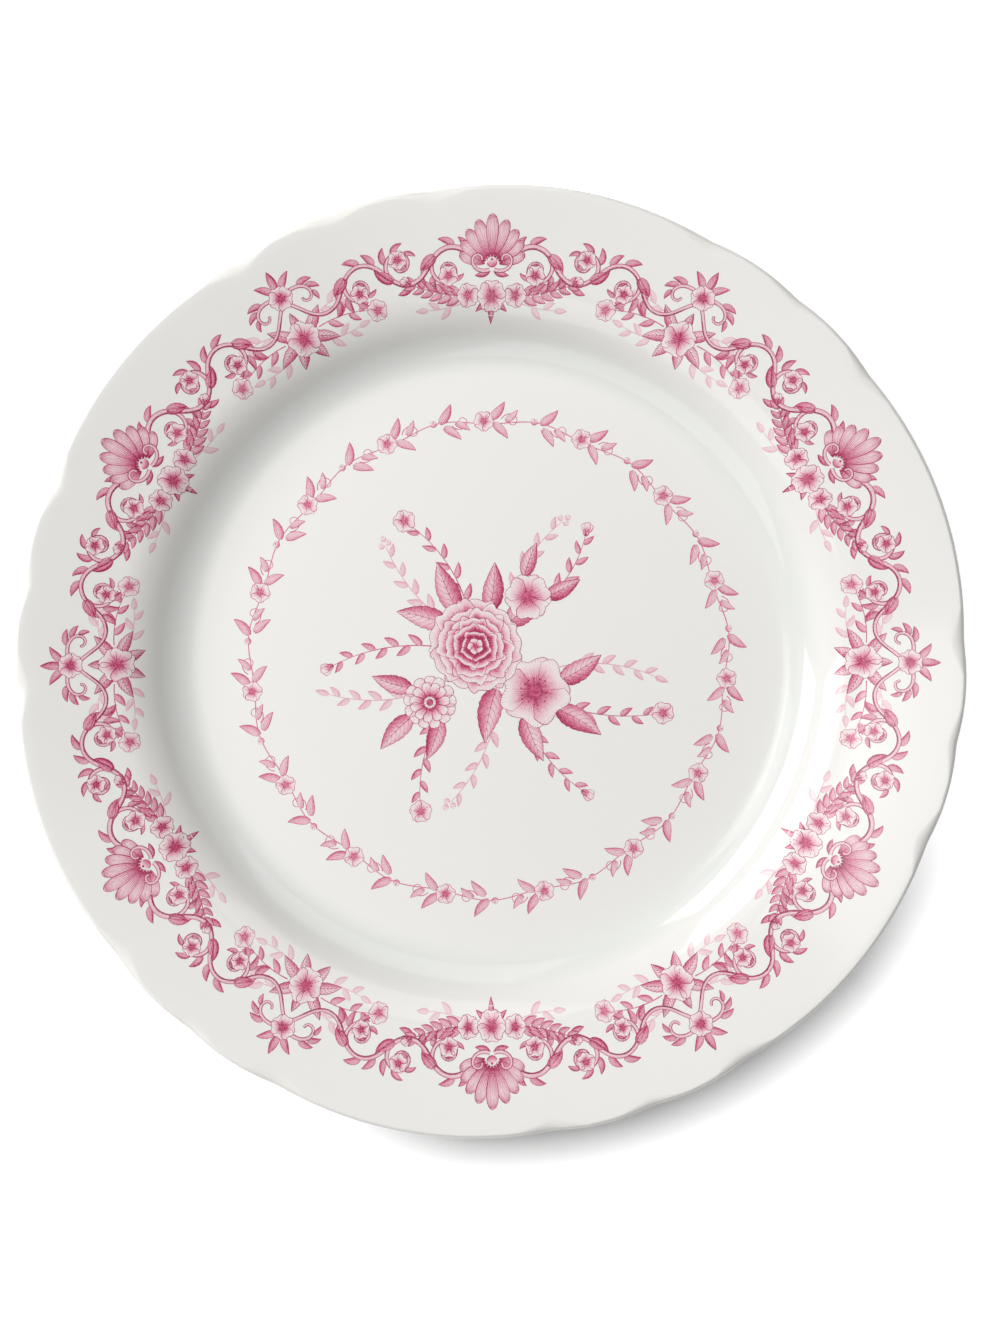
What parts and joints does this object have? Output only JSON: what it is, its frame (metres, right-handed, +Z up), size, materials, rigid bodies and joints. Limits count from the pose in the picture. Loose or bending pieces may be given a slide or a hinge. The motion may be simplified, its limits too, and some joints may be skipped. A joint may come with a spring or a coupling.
{
  "type": "dinner plate",
  "caption": "Round china dinner plate with a scalloped rim, a wide shallow well, a foot ring and a printed floral border, wreath and posy under gloss.",
  "frame": {"origin": "centre of the foot ring's resting plane", "axes": "+Z up out of the well, +Y towards the top of the printed posy"},
  "size_m": [0.2688, 0.2692, 0.0248],
  "materials": {
    "fired_clay": "bare fired china",
    "glaze": "gloss, warm white",
    "print": "gloss, crimson pink print"
  },
  "bodies": {
    "root": {"clay_body": "fired_clay", "outer_glaze": "glaze", "recess_glaze": "glaze", "rim_transfer_1": "print", "rim_transfer_2": "print", "rim_transfer_3": "print", "rim_transfer_4": "print", "rim_transfer_5": "print", "rim_transfer_6": "print", "wreath_transfer": "print", "centre_transfer": "print"}
  },
  "joints": []
}
